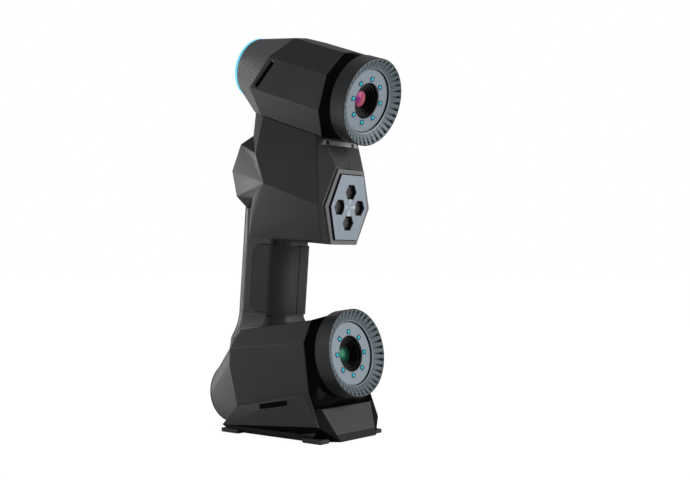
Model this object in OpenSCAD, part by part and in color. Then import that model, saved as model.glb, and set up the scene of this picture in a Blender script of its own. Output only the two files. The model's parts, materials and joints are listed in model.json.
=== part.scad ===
// Handheld two-camera laser scanner standing in its faceted dock.
// Millimetres, +Z up, the lenses face -Y, and x = 0 is the plane of symmetry.
// The origin is the middle of the footprint on the table.

/* [Stance] */
// Forward lean of the scanner in its dock, degrees
lean = 4.6; // [3:0.1:6]
// Distance from that midpoint to each lens centre
half_baseline = 93; // [90:0.5:98]
// Turn of each camera head towards the scanned surface, degrees
toe_in = 12.9; // [11:0.1:14]

/* [Lens units] */
// Outer radius of the lens ring
ring_r = 33; // [31:0.1:34]
// Length of the lens ring along its axis
ring_depth = 13.4; // [12:0.1:16]
// Inner radius of the ribbed funnel
funnel_r = 24.3; // [24:0.1:26]
// Depth of the ribbed funnel
funnel_depth = 6.4; // [4:0.1:7]
// Pleats round the funnel
rib_count = 40; // [30:1:48]
// Depth of the grooves between the pleats at the rim
groove_depth = 1.8; // [0.8:0.1:2]
// Width of the smooth rim outside the pleats
rim_w = 1; // [0.6:0.1:1.4]
// Radius of the light plate
light_plate_r = 23.4; // [22.5:0.1:23.6]
// Thickness of the light plate
light_plate_t = 2.2; // [1.6:0.1:3]
// Lamps round each lens
lamp_count = 8; // [6:1:12]
// Radius of the circle of lamps
lamp_circle_r = 16.3; // [15.8:0.1:18]
// Radius of one lamp window
lamp_r = 1.4; // [1:0.1:1.6]
// Outer radius of the lens barrel
barrel_r = 13.4; // [12:0.1:13.6]
// Wall of the lens barrel behind the lens
barrel_wall = 2; // [1.5:0.1:3]
// Length of the lens barrel
barrel_length = 38; // [30:1:42]
// Depth of the front lens behind the mouth of the barrel
lens_recess = 6.2; // [4:0.1:8]
// Radius of the front lens
lens_r = 5.8; // [5:0.1:7]
// Thickness of the front lens at its rim
lens_t = 3; // [2:0.1:5]
// Crown of the front lens
lens_crown = 1.2; // [0.6:0.1:2]
// Length of the bezel between a lens ring and its housing
bezel_depth = 7.2; // [6:0.1:9]
// Width and height of the camera module
module_size = 32; // [26:1:36]
// Length of the camera module
module_length = 34; // [26:1:36]

/* [Camera heads] */
// Half-width of both heads over their flat sides
head_half_w = 34.8; // [34.8:0.1:36]
// Wall of the moulded housings
wall = 2.4; // [2:0.1:3]
// Half-width of the upper roof at the front
upper_roof_half_w = 21.4; // [19:0.1:24]
// Height of the upper roof above the lens axis
upper_roof_h = 30.5; // [29:0.1:33]
// Height of the upper shoulder edge
upper_shoulder_h = 12.8; // [10:0.1:15]
// Depth of the upper waist edge below the lens axis
upper_waist_h = 14.4; // [12:0.1:17]
// Depth of the upper floor below the lens axis
upper_floor_h = 33; // [32:0.1:35]
// Half-width of the upper floor
upper_floor_half_w = 24.3; // [23:0.1:26]
// Rise of the upper housing from front to rear
upper_rise = 1.6; // [0:0.1:3]
// Rise of the crown along the middle of the upper roof
upper_crown = 1.8; // [0.5:0.1:3]
// Distance behind the lens face where the upper roof ends
upper_roof_end = 71; // [68:0.1:78]
// Distance behind the lens face where the upper waist ends
upper_waist_end = 93.5; // [88:0.1:98]
// Distance behind the lens face where the rear cap starts
upper_cap_b = 121.5; // [116:0.5:126]
// Distance behind the lens face where the upper rear cover's chin ends
upper_chin_b = 98; // [95:0.1:102]
// Radius of the rear rim of both heads
rim_r = 24.2; // [23:0.1:25]
// Half-width of the lower roof at the front
lower_roof_half_w = 25; // [23:0.1:27]
// Height of the lower roof above the lens axis
lower_roof_h = 27.8; // [27:0.1:29]
// Height of the lower shoulder edge
lower_shoulder_h = 11.6; // [9:0.1:14]
// Depth of the lower floor below the lens axis
lower_floor_h = 41; // [39:0.1:42]
// Distance behind the lens face where the lower side wall ends
lower_side_end = 98; // [94:0.5:102]
// Distance behind the lens face of the lower rear rim
lower_cap_b = 133.8; // [130:0.5:136]
// Drop of the lower rear rim below the lens axis
lower_cap_h = 19.8; // [18:0.1:21]
// Thickness of the end caps
cap_t = 3; // [2:0.1:4]
// Thickness of the status light ring
light_ring_t = 2.2; // [1.5:0.1:3]
// Radius of the cable socket at the rear of the lower head
socket_r = 8; // [6:0.1:10]
// Depth of the cable socket below the end cap's seat
socket_depth = 4; // [3:0.5:8]

/* [Body] */
// Height of the middle of the laser panel above the midpoint of the lenses
panel_t = 14.4; // [12:0.1:17]
// Distance of the laser panel behind the lens centres
panel_d = 17.9; // [16:0.1:20]
// Tilt of the laser panel against the body, degrees
panel_tilt = 3; // [0:0.5:5]
// Half-height of the hexagonal laser frame
frame_half_h = 28.3; // [26:0.1:29]
// Half-width of the laser frame at its side corners
frame_half_w = 26.3; // [24:0.1:27]
// Half-width of the laser frame at its top and bottom edges
frame_end_half_w = 15.3; // [14:0.1:16]
// Width of the border of the laser frame
frame_border = 3.6; // [3:0.1:5]
// Height of the laser frame in front of the body
frame_proud = 1.5; // [1:0.1:2]
// Thickness of the laser frame behind the body's front
frame_seat = 1.2; // [0.8:0.1:1.6]
// Height of the laser plate in front of its frame
plate_proud = 1.7; // [1:0.1:2.5]
// Distance of the laser windows from the middle of the panel
window_circle_r = 11.6; // [10:0.1:12]
// Corner radius of a hexagonal laser window
window_r = 5.6; // [4.5:0.1:6]
// Half-width of the body at its side crease
crease_half_w = 31; // [29:0.1:32]
// Height of the body's side crease at the front
crease_t = 14.9; // [12:0.1:18]
// Depth of the underside of the body below the midpoint of the lenses
body_floor_t = 13.6; // [12:0.1:15]
// Half-width of the keypad hump at its rear face
hump_half_w = 25; // [24:0.1:26]
// Distance of the keypad hump's rear edge behind the lens centres
hump_rear = 117.2; // [115:0.1:120]
// Height of the keypad hump's rear edge
hump_mid_t = 37.3; // [35:0.1:40]
// Clearance of the two shells round the pieces they carry
fit_gap = 0.25; // [0.2:0.05:0.3]

/* [Keys] */
// Width of the keypad plate
keypad_w = 38; // [36:0.5:40]
// Height of the keypad plate
keypad_h = 21; // [20.5:0.1:21.5]
// Thickness of the keypad plate
keypad_t = 2; // [1.6:0.1:2.4]
// Radius of the scan key
scan_key_r = 2.9; // [2.5:0.1:3]
// Radius of the four small keys
small_key_r = 1.8; // [1.6:0.1:1.9]
// Distance of the side keys from the scan key
side_key_x = 10; // [7.5:0.1:12]
// Distance of the upper and lower keys from the scan key
end_key_z = 5.9; // [5.8:0.05:6.1]
// Height of the keys above their plate
key_proud = 1.4; // [1.2:0.1:2]
// Travel of a key
key_travel = 0.8; // [0.5:0.1:1]

/* [Handle] */
// Half-width of the handle
handle_half_w = 20; // [19:0.1:21]
// Distance of the handle's front behind the lens centres
handle_front = 62.5; // [60:0.1:64]
// Distance of the handle's back behind the lens centres
handle_back = 111.8; // [110:0.1:114]
// Corner radius at the handle's front
handle_front_r = 15; // [12:0.1:17]
// Corner radius at the handle's back
handle_back_r = 12; // [10:0.1:14]
// Depth of the handle's foot below the midpoint of the lenses
handle_foot_t = 72; // [70:0.1:74]
// Thickness of the grip pads
grip_t = 1.8; // [1.2:0.1:2.2]
// Distance of the grip pads' rear seam behind the lens centres
grip_back = 94; // [90:0.5:97]
// Corner radius of the grip pads
grip_corner_r = 8; // [5:0.5:9]
// Gap between the grip pads and the body above
grip_top_gap = 4.6; // [3:0.1:7]
// Depth of the recess round the handle's front above the grip pads
recess_depth = 3.6; // [2:0.1:4]
// Distance of that recess's rear end behind the lens centres
recess_back = 75.5; // [72:0.5:80]

/* [Dock] */
// Clearance between the lower head and the dock's side panels
dock_gap = 0.5; // [0.4:0.1:0.8]
// Wall of the side panels at the rim
panel_wall = 2.2; // [2:0.1:2.6]
// Wall of the side panels at their lower edge
panel_low_wall = 2.9; // [2.7:0.1:4.2]
// Height of the rim at the front
rim_front_z = 36; // [34:0.1:38]
// Height of the rim at the back
rim_back_z = 20.5; // [18.5:0.1:22]
// Height of the front panel's lip
lip_z = 24.4; // [23:0.1:25]
// Wall of the front panel, measured along Y
front_wall = 3; // [2.4:0.1:3.2]
// Height of the dock's underside above the table
base_z = 0.8; // [0.6:0.1:2]
// Thickness of the dock's floor
base_t = 5; // [4:0.1:6]
// Height of the lower head's floor above the dock's floor, at the rear of the cradle
cradle_rise = 5.8; // [4.8:0.1:8]
// Thickness of the cradle pads
pad_t = 2; // [1.5:0.1:2.5]
// Height of the feet
foot_h = 3.2; // [3:0.1:4.5]
// Length of the feet
foot_l = 18; // [14:0.5:20]
// Width of the feet
foot_w = 10; // [8:0.5:12]

/* [Hidden] */

$fn = 96;
eps = 0.01;
big = 200;

charcoal = [0.13, 0.13, 0.14];
soft_black = [0.08, 0.08, 0.09];
gloss_black = [0.03, 0.03, 0.04];
gunmetal = [0.32, 0.33, 0.35];
steel_blue = [0.45, 0.52, 0.57];
pale_steel = [0.62, 0.68, 0.72];
cyan = [0.1, 0.75, 0.85];
board_green = [0.08, 0.3, 0.2];

// Midpoint between the two lenses, which stands where the lower head rests in its cradle
centre_y = -37.4;
upper_pitch = lean + toe_in;
lower_pitch = lean - toe_in;
pad_front = 30;
pad_length = 56;
centre_height = base_z + base_t + cradle_rise + lower_floor_h * cos(lower_pitch)
    - (pad_front + pad_length) * sin(lower_pitch) + half_baseline * cos(lean);

// Plan reach of the whole object, which centres it on the origin
front_reach = centre_y - half_baseline * sin(lean) - ring_r * sin(upper_pitch);
rear_reach = centre_y + half_baseline * sin(lean) + (lower_cap_b + cap_t) * cos(lower_pitch)
    + (lower_cap_h - rim_r) * sin(lower_pitch);
shift_y = -(front_reach + rear_reach) / 2;

module in_world() translate([0, shift_y, 0]) children();
// Body frame: y runs back from the line of the lenses, z up along it
module in_body() in_world() translate([0, centre_y, centre_height]) rotate([lean, 0, 0]) children();
// Head frames: y runs back from the face of the lens ring, z is up square to the lens axis
module in_head(side) in_body() translate([0, 0, side * half_baseline])
    rotate([side * toe_in, 0, 0]) children();
module in_panel() in_body() translate([0, panel_d, panel_t]) rotate([panel_tilt, 0, 0]) children();

function toward(p, c, g) = [for (k = [0 : 2]) p[k] - sign(p[k] - c[k]) * min(g, abs(p[k] - c[k]))];
function both_sides(pts) = concat(pts, [for (p = pts) [-p[0], p[1], p[2]]]);
// Convex faceted solid through points given for one side, moved in by g on every side
module facet_form(pts, centre, g = 0) {
    all_pts = [for (p = both_sides(pts)) toward(p, centre, g)];
    hull() polyhedron(all_pts, [for (i = [0 : len(all_pts) - 3]) [i, i + 1, i + 2]]);
}
// Solid through slices with the same number of points, from the highest slice to the lowest
module loft(slices) {
    n = len(slices[0]);
    last = len(slices) - 1;
    polyhedron([for (s = slices) each s], concat(
        [[for (i = [n - 1 : -1 : 0]) i], [for (i = [0 : n - 1]) last * n + i]],
        [for (k = [0 : last - 1], i = [0 : n - 1]) let (j = (i + 1) % n) [k * n + i, k * n + j, k * n + n + i]],
        [for (k = [0 : last - 1], i = [0 : n - 1]) let (j = (i + 1) % n)
            [k * n + j, k * n + n + j, k * n + n + i]]));
}
function arc(centre, r, from, to, steps = 6) = [for (i = [0 : steps])
    let (a = from + (to - from) * i / steps) [centre[0] + r * cos(a), centre[1] + r * sin(a)]];
module half(side) intersection() {
    children();
    translate([side < 0 ? -big : 0, -big, -big]) cube([big, 2 * big, 2 * big]);
}

// Camera heads

upper = 1;
lower = -1;
head_front = ring_depth + bezel_depth;
upper_shoulder_end = upper_roof_end + 9.3;
upper_crown_half_w = upper_roof_half_w / 2;
upper_floor_end = upper_waist_end - 10.1;
upper_mid = [0, 60, 0];
lower_mid = [0, 60, -8];

upper_front_pts = [
    [upper_crown_half_w, head_front, upper_roof_h + upper_crown],
    [upper_roof_half_w, head_front, upper_roof_h],
    [head_half_w, head_front, upper_shoulder_h],
    [head_half_w, head_front, -upper_waist_h],
    [upper_floor_half_w, head_front, -upper_floor_h]];
upper_rear_pts = [
    [upper_crown_half_w, upper_roof_end - 2, upper_roof_h + upper_rise + upper_crown],
    [upper_roof_half_w, upper_roof_end, upper_roof_h + upper_rise],
    [head_half_w, upper_shoulder_end, upper_shoulder_h + upper_rise],
    [head_half_w, upper_waist_end, upper_rise - upper_waist_h],
    [upper_floor_half_w + 1.4, upper_floor_end, upper_rise - upper_floor_h]];
lower_front_pts = [
    [lower_roof_half_w, head_front, lower_roof_h],
    [head_half_w, head_front + 1, lower_shoulder_h],
    [head_half_w, head_front + 1.5, 4 - lower_floor_h],
    [head_half_w - 5, head_front + 1.5, -lower_floor_h]];
lower_rear_pts = [
    [lower_roof_half_w + 1.7, lower_side_end - 6, lower_roof_h],
    [head_half_w, lower_side_end, lower_shoulder_h + 3],
    [head_half_w, lower_side_end + 2, 2],
    [head_half_w, lower_side_end - 3, 4 - lower_floor_h],
    [head_half_w - 5, lower_side_end - 5, -lower_floor_h]];

module upper_form(g = 0) facet_form(concat(upper_front_pts, upper_rear_pts), upper_mid, g);
module lower_form(g = 0) facet_form(concat(lower_front_pts, lower_rear_pts), lower_mid, g);
module head_form(side, g = 0) if (side == upper) upper_form(g); else lower_form(g);

// The chin carries the upper head's floor back over the neck of the body
upper_chin_pts = [[18, upper_chin_b, upper_rise - upper_floor_h - 0.2]];
module rear_loft(side, g = 0) {
    pts = side == upper ? concat(upper_rear_pts, upper_chin_pts) : lower_rear_pts;
    mid = side == upper ? upper_mid : lower_mid;
    cap_b = side == upper ? upper_cap_b : lower_cap_b;
    cap_z = side == upper ? upper_rise / 2 : -lower_cap_h;
    all_pts = [for (p = both_sides(pts)) toward(p, mid, g)];
    hull() {
        polyhedron(all_pts, [for (i = [0 : len(all_pts) - 3]) [i, i + 1, i + 2]]);
        translate([0, cap_b - g, cap_z]) rotate([90, 0, 0]) cylinder(r = rim_r - g, h = eps);
    }
}

module head_housing(side) color(charcoal) in_head(side) difference() {
    union() {
        head_form(side);
        if (side == lower) handle_foot();
    }
    head_form(side, wall);
    translate([0, head_front - 1, 0]) rotate([-90, 0, 0]) cylinder(r = barrel_r + fit_gap, h = wall + 4);
    rear_opening(side);
    if (side == upper) side_slots();
}

// Opens the rear of a housing for its rear cover, inside the wall
module rear_opening(side) translate([0, 2 * wall, 0]) head_form(side, wall);

// Long vent slots that follow the rear edge of the upper head's sides
module side_slots() for (s = [-1, 1])
    translate([s * (head_half_w - 1.2), upper_shoulder_end + 1.2, 0.6])
        rotate([28, 0, 0]) translate([-1.5, -1.6, -12.4]) cube([3, 3.2, 24]);

module rear_cover(side) color(gunmetal) in_head(side) difference() {
    rear_loft(side);
    head_form(side);
    rear_loft(side, wall);
    if (side == lower) handle_foot();
    if (side == lower) translate([0, lower_cap_b, -lower_cap_h]) rotate([90, 0, 0])
        cylinder(r = socket_r + fit_gap, h = 2 * wall);
}

module bezel(side) color(gloss_black) in_head(side) difference() {
    pts = side == upper ? upper_front_pts : lower_front_pts;
    hull() {
        polyhedron(both_sides(pts), [for (i = [0 : 2 * len(pts) - 3]) [i, i + 1, i + 2]]);
        translate([0, ring_depth + eps, 0]) rotate([90, 0, 0]) cylinder(r = ring_r - 1.5, h = eps);
    }
    translate([0, ring_depth - 1, 0]) rotate([-90, 0, 0])
        cylinder(r = barrel_r + fit_gap, h = bezel_depth + 4);
    head_form(side);
}

// Pleated funnel ring: one turned profile cut by wedges that are deepest at the rim
module lens_ring(side) color(gunmetal) in_head(side) rotate([-90, 0, 0]) difference() {
    rotate_extrude() polygon([
        [ring_r - 0.6, 0], [ring_r, 0.6], [ring_r, ring_depth], [funnel_r - 3, ring_depth],
        [funnel_r - 3, funnel_depth + light_plate_t], [funnel_r, funnel_depth + light_plate_t],
        [funnel_r, funnel_depth]]);
    for (i = [0 : rib_count - 1]) rotate([0, 0, i * 360 / rib_count]) groove();
}

module groove() {
    slope = atan2(funnel_depth, ring_r - funnel_r);
    run = norm([ring_r - funnel_r, funnel_depth]) - rim_w;
    half_groove = ring_r * sin(180 / rib_count) * 0.55;
    translate([funnel_r, 0, funnel_depth]) rotate([0, slope - atan2(groove_depth, run), 0])
        rotate([90, 0, 90]) translate([0, 0, rim_w]) linear_extrude(run - rim_w)
            polygon([[0, groove_depth * 0.1], [half_groove, -3], [-half_groove, -3]]);
}

module light_plate(side) color(pale_steel) in_head(side) rotate([-90, 0, 0])
    translate([0, 0, funnel_depth]) difference() {
        cylinder(r = light_plate_r, h = light_plate_t);
        translate([0, 0, -1]) cylinder(r = barrel_r + fit_gap, h = light_plate_t + 2);
        at_lamps() translate([0, 0, -1]) cylinder(r = lamp_r + 0.1, h = light_plate_t + 2, $fn = 32);
    }

module at_lamps() for (i = [0 : lamp_count - 1]) rotate([0, 0, i * 360 / lamp_count])
    translate([0, lamp_circle_r, 0]) children();

module light_windows(side) color(cyan) in_head(side) rotate([-90, 0, 0])
    translate([0, 0, funnel_depth + 0.2]) at_lamps()
        cylinder(r = lamp_r, h = light_plate_t - 0.2, $fn = 32);

module light_board(side) color(board_green) in_head(side) rotate([-90, 0, 0])
    translate([0, 0, funnel_depth + light_plate_t]) difference() {
        cylinder(r = funnel_r - 3 - fit_gap, h = 1.6);
        translate([0, 0, -1]) cylinder(r = barrel_r + fit_gap, h = 4);
    }

barrel_front = funnel_depth + 0.5;
module lens_barrel(side) color(gloss_black) in_head(side) rotate([-90, 0, 0])
    translate([0, 0, barrel_front]) rotate_extrude() polygon(barrel_profile());

// The bore narrows in even steps from the mouth to the seat of the front lens
bore_steps = 4;
seat_lip = 1;
function barrel_profile() = let (
    mouth = barrel_r - 1,
    floor_r = lens_r + 2.2,
    seat = lens_recess + lens_t)
    concat([
        [barrel_r, 0.4], [barrel_r, barrel_length], [barrel_r - barrel_wall, barrel_length],
        [barrel_r - barrel_wall, seat + 4], [lens_r - seat_lip, seat + 4],
        [lens_r - seat_lip, seat], [lens_r, seat], [lens_r, lens_recess]],
        [for (k = [bore_steps - 1 : -1 : 0], deep = [1, 0])
            [mouth - (mouth - floor_r) * k / (bore_steps - 1),
                max(0.4, lens_recess * (k + deep) / bore_steps)]],
        [[mouth + 0.3, 0], [barrel_r - 0.3, 0]]);

module front_lens(side) color([0.3, 0.1, 0.3, 0.6]) in_head(side) rotate([-90, 0, 0])
    translate([0, 0, barrel_front + lens_recess]) rotate_extrude() crown_profile();

// Half section of a lens with a spherical crown towards the mouth
module crown_profile() {
    r = lens_r - 0.05;
    ball_r = (r * r + lens_crown * lens_crown) / (2 * lens_crown);
    polygon(concat([[0, lens_t], [r, lens_t]],
        [for (i = [8 : -1 : 0]) let (x = r * i / 8)
            [x, ball_r - lens_crown - sqrt(ball_r * ball_r - x * x)]]));
}

module camera_module(side) color(soft_black) in_head(side)
    translate([0, barrel_front + barrel_length, 0]) {
        translate([-module_size / 2, 0, -module_size / 2])
            cube([module_size, module_length, module_size]);
        for (x = [-1, 1]) translate([x * (module_size / 2 - 4), module_length, 0])
            rotate([-90, 0, 0]) cylinder(r = 2, h = 2, $fn = 24);
    }

module status_light_ring() color(cyan) in_head(upper) translate([0, upper_cap_b, upper_rise / 2])
    rotate([-90, 0, 0]) difference() {
        cylinder(r = rim_r, h = light_ring_t);
        translate([0, 0, -1]) cylinder(r = rim_r - 1.8, h = light_ring_t + 2);
    }

module upper_end_cap() color(charcoal) in_head(upper) translate([0, upper_cap_b, upper_rise / 2])
    rotate([-90, 0, 0]) rotate_extrude()
        polygon([[0, 0], [rim_r - 2, 0], [rim_r - 2, light_ring_t - 0.3], [rim_r - 3.5, cap_t], [0, cap_t]]);

module lower_end_cap() color(charcoal) in_head(lower) translate([0, lower_cap_b, -lower_cap_h])
    rotate([-90, 0, 0]) rotate_extrude()
        polygon([[socket_r + fit_gap, 0], [rim_r, 0], [rim_r, 1], [rim_r - 1.5, cap_t],
            [socket_r + fit_gap, cap_t]]);

// Round multi-pole socket, empty, with its contacts in a ring round the cup
module cable_socket() color(gunmetal) in_head(lower) translate([0, lower_cap_b, -lower_cap_h])
    rotate([-90, 0, 0]) {
        difference() {
            translate([0, 0, -socket_depth - 2]) cylinder(r = socket_r, h = socket_depth + 2 + cap_t);
            translate([0, 0, -socket_depth]) cylinder(r = socket_r - 1.4, h = socket_depth + cap_t + 1);
        }
        for (i = [0 : 5]) rotate([0, 0, 60 * i]) translate([socket_r - 2.5, 0, -socket_depth - eps])
            cylinder(r = 0.5, h = socket_depth, $fn = 24);
    }

// Body between the heads

function panel_pt(x, z, back = 0) = [x,
    panel_d + back * cos(panel_tilt) - z * sin(panel_tilt),
    panel_t + back * sin(panel_tilt) + z * cos(panel_tilt)];

hump_top = [hump_rear - 7.8, hump_mid_t + 21.3];
hump_low = [hump_rear - 6.6, hump_mid_t - 20];
// Heights that follow the upper head down to the body's shoulders
head_seat_t = half_baseline - 7;
shoulder_t = head_seat_t - 20;
bracket_low = [29.9, head_seat_t - 26.6];
bracket_high = [30.8, head_seat_t - 21.6];
bracket_low_half_w = 22.5;
bracket_high_half_w = 19.5;
body_mid = [0, 70, 25];
hump_mid = [0, 95, 35];
front_pts = [
    panel_pt(frame_end_half_w + 0.8, frame_half_h + 0.8, frame_proud),
    panel_pt(frame_half_w + 1.6, 0.6, frame_proud),
    panel_pt(frame_end_half_w + 0.8, -frame_half_h, frame_proud),
    [crease_half_w - 0.5, panel_d + 3.8, crease_t],
    [22, panel_d + 6, 2.4 - body_floor_t],
    [bracket_low_half_w, bracket_low[0], bracket_low[1]],
    [bracket_high_half_w, bracket_high[0], bracket_high[1]],
    [bracket_high_half_w, bracket_high[0] + 1, bracket_high[1] + 8],
    [24.2, 33.3, head_seat_t - 16]];
flank_pts = [
    [crease_half_w + 0.5, 76.2, 28.4],
    [29.2, 89.4, 51.7],
    [26.8, 91, 17.4],
    [24.9, 86.5, head_seat_t],
    [22.5, 95.5, head_seat_t],
    [23.5, 96.5, shoulder_t],
    [17.5, 102, head_seat_t],
    [17.5, 103.4, shoulder_t]];
lower_flank_pts = [
    [16, handle_front + 1, -body_floor_t],
    [handle_half_w - 0.5, handle_front + 12, -body_floor_t],
    [handle_half_w - 0.5, handle_back - 12, -body_floor_t],
    [handle_half_w - 6, handle_back - 6, -body_floor_t]];
hump_pts = [
    [hump_half_w, hump_top[0], hump_top[1]],
    [hump_half_w, hump_rear, hump_mid_t],
    [hump_half_w, hump_low[0], hump_low[1]],
    [hump_half_w - 4.5, hump_low[0] - 8.4, hump_low[1] - 9],
    [17.5, 103.2, shoulder_t],
    [28, 90.5, 51.7],
    [crease_half_w + 0.4, 76.3, 28.4],
    [26.6, 91.4, 17.4]];

module trunk_form(g = 0) facet_form(concat(front_pts, flank_pts, lower_flank_pts), body_mid, g);
module hump_form(g = 0) facet_form(hump_pts, hump_mid, g);

module body_shell(side) color(charcoal) in_body() half(side) difference() {
    union() {
        trunk_form();
        hump_form();
        handle_collar();
    }
    difference() {
        union() {
            trunk_form(wall);
            hump_form(wall);
        }
        body_bosses();
    }
    under_upper_head();
    body_screw_bores(side);
    frame_window();
    keypad_window();
    handle_passage();
    bracket_seat();
}

// Lets the upper head sit on the body
module under_upper_head() translate([0, 0, half_baseline]) rotate([toe_in, 0, 0]) {
    upper_form();
    rear_loft(upper);
    translate([-big / 2, 0, -upper_floor_h + 3]) cube([big, big, big]);
}
// The body's rear runs down into the handle with the handle's own outline
collar_h = 36;
module handle_collar() translate([0, 0, -body_floor_t]) linear_extrude(collar_h) handle_outline();

body_screws = [[42, 50], [58.4, -5], [100, 30]];
handle_screws = [[101, -26], [101, -60]];
screw_r = 1.5;
screw_head_r = 2.6;
boss_r = 4;
screw_reach = 8;
module along_x(p, from, to, r) translate([from, p[0], p[1]]) rotate([0, 90, 0])
    cylinder(r = r, h = to - from, $fn = 32);
module body_bosses() for (p = body_screws) along_x(p, -big / 4, big / 4, boss_r);
module screw_bores(points, side, seat) for (p = points) {
    along_x(p, -screw_reach - 1, big / 2, screw_r + 0.05);
    if (side > 0) along_x(p, seat, big / 2, screw_head_r + fit_gap);
}
body_screw_seat = 22;
handle_screw_seat = handle_half_w - 3;
module body_screw_bores(side) screw_bores(body_screws, side, body_screw_seat);
module screws(points, seat) for (p = points) difference() {
    union() {
        along_x(p, -screw_reach, seat, screw_r);
        along_x(p, seat, seat + 2, screw_head_r);
    }
    translate([seat + 2, p[0], p[1]]) rotate([0, 90, 0]) cylinder(r = 1.4, h = 2.4, $fn = 6, center = true);
}
module housing_screws() color(soft_black) in_body() {
    screws(body_screws, body_screw_seat);
    screws(handle_screws, handle_screw_seat);
}

module hexagon(half_w, end_half_w, half_h) polygon([
    [end_half_w, half_h], [half_w, 0], [end_half_w, -half_h],
    [-end_half_w, -half_h], [-half_w, 0], [-end_half_w, half_h]]);
module frame_outline(grow = 0) hexagon(frame_half_w + 1.15 * grow,
    frame_end_half_w + 0.6 * grow, frame_half_h + grow);
module panel_back(from, length) translate([0, from, 0]) rotate([-90, 0, 0])
    linear_extrude(length) children();
module frame_window() translate([0, panel_d, panel_t]) rotate([panel_tilt, 0, 0]) {
    panel_back(-8, 8 + holder_front) frame_outline(fit_gap);
    panel_back(-8, 18) frame_outline(-1.2);
}

module laser_frame() color(gunmetal) in_panel() difference() {
    panel_back(0, frame_proud + frame_seat) frame_outline();
    panel_back(-1, frame_proud + frame_seat + 2) frame_outline(-frame_border);
}
module at_windows() for (i = [0 : 3]) rotate([0, 90 * i, 0]) translate([window_circle_r, 0, 0])
    rotate([0, -90 * i, 0]) children();
module hex_bar(r, from, length) translate([0, from, 0]) rotate([-90, 0, 0])
    cylinder(r = r, h = length, $fn = 6);
module laser_plate() color(pale_steel) in_panel() difference() {
    panel_back(-plate_proud, plate_proud + frame_proud + frame_seat)
        frame_outline(-frame_border - fit_gap);
    at_windows() hex_bar(window_r, -plate_proud - 1, 20);
}
module laser_windows() color([0.1, 0.1, 0.12, 0.7]) in_panel() at_windows()
    hex_bar(window_r - 0.1, holder_front - window_t, window_t);
window_t = 1.5;
holder_depth = 30;
holder_half_w = 18;
holder_half_h = 17;
holder_front = frame_proud + frame_seat;
module laser_holder() color(gunmetal) in_panel() difference() {
    translate([-holder_half_w, holder_front, -holder_half_h])
        cube([2 * holder_half_w, holder_depth, 2 * holder_half_h]);
    at_windows() translate([0, holder_front - 1, 0]) rotate([-90, 0, 0])
        cylinder(r = window_r - 1.4, h = holder_depth + 2);
}
module laser_modules() color([0.5, 0.42, 0.22]) in_panel() at_windows()
    translate([0, holder_front + 2, 0]) rotate([-90, 0, 0]) difference() {
        cylinder(r = window_r - 1.5, h = holder_depth);
        translate([0, 0, -1]) cylinder(r = 1.5, h = 4, $fn = 32);
    }

bracket_t = 2;
bracket_screw_x = 15;
bracket_lean = atan2(bracket_high[0] - bracket_low[0], bracket_high[1] - bracket_low[1]);
module in_bracket() translate([0, bracket_low[0], bracket_low[1]])
    rotate([-bracket_lean, 0, 0]) children();
bracket_h = 4.4;
module bracket_outline(grow = 0) polygon([
    [-bracket_low_half_w - grow, 0.3 - grow], [bracket_low_half_w + grow, 0.3 - grow],
    [bracket_high_half_w + grow, bracket_h], [-bracket_high_half_w - grow, bracket_h]]);
module bracket_seat() in_bracket() translate([0, 0.8, 0]) rotate([90, 0, 0])
    linear_extrude(8) bracket_outline(fit_gap);
module bracket_plate() color(steel_blue) in_body() in_bracket() difference() {
    translate([0, 0.8, 0]) rotate([90, 0, 0]) linear_extrude(bracket_t) bracket_outline();
    for (x = [-1, 1]) translate([x * bracket_screw_x, 4, bracket_h / 2]) rotate([90, 0, 0])
        cylinder(r = 1.6, h = 8, $fn = 32);
}
module bracket_screws() color(soft_black) in_body() in_bracket() for (x = [-1, 1])
    translate([x * bracket_screw_x, 0.8, bracket_h / 2]) rotate([90, 0, 0]) difference() {
        cylinder(r = 1.55, h = bracket_t + 0.4, $fn = 32);
        translate([0, 0, bracket_t - 0.6]) cylinder(r = 0.8, h = 2, $fn = 6);
    }

spine_half_w = 5;
spine_front = 79;
spine_depth = 13;
spine_top_t = 90;
board_t = 1.6;
main_board_size = 34;
main_board_t = 26;
loom_half_w = 4;
loom_top_t = 52;
arm_h = 10;
arm_half_w = spine_half_w - 1;
module chassis_spine() color([0.6, 0.61, 0.63]) {
    in_body() difference() {
        translate([-spine_half_w, spine_front, -handle_foot_t])
            cube([2 * spine_half_w, spine_depth, handle_foot_t + spine_top_t]);
        under_upper_head();
    }
    in_panel() translate([-arm_half_w, holder_front + holder_depth, -arm_h / 2])
        cube([2 * arm_half_w, spine_front - panel_d - holder_front - holder_depth + 3, arm_h]);
}
module main_board() color(board_green) in_body()
    translate([spine_half_w, spine_front - 20, main_board_t])
        cube([board_t, main_board_size, main_board_size]);
module wiring_loom() color(soft_black) in_body()
    translate([-loom_half_w, spine_front + spine_depth, 8 - handle_foot_t])
        cube([2 * loom_half_w, 1, handle_foot_t + loom_top_t]);

// Keypad on the upper rear face of the hump

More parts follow.
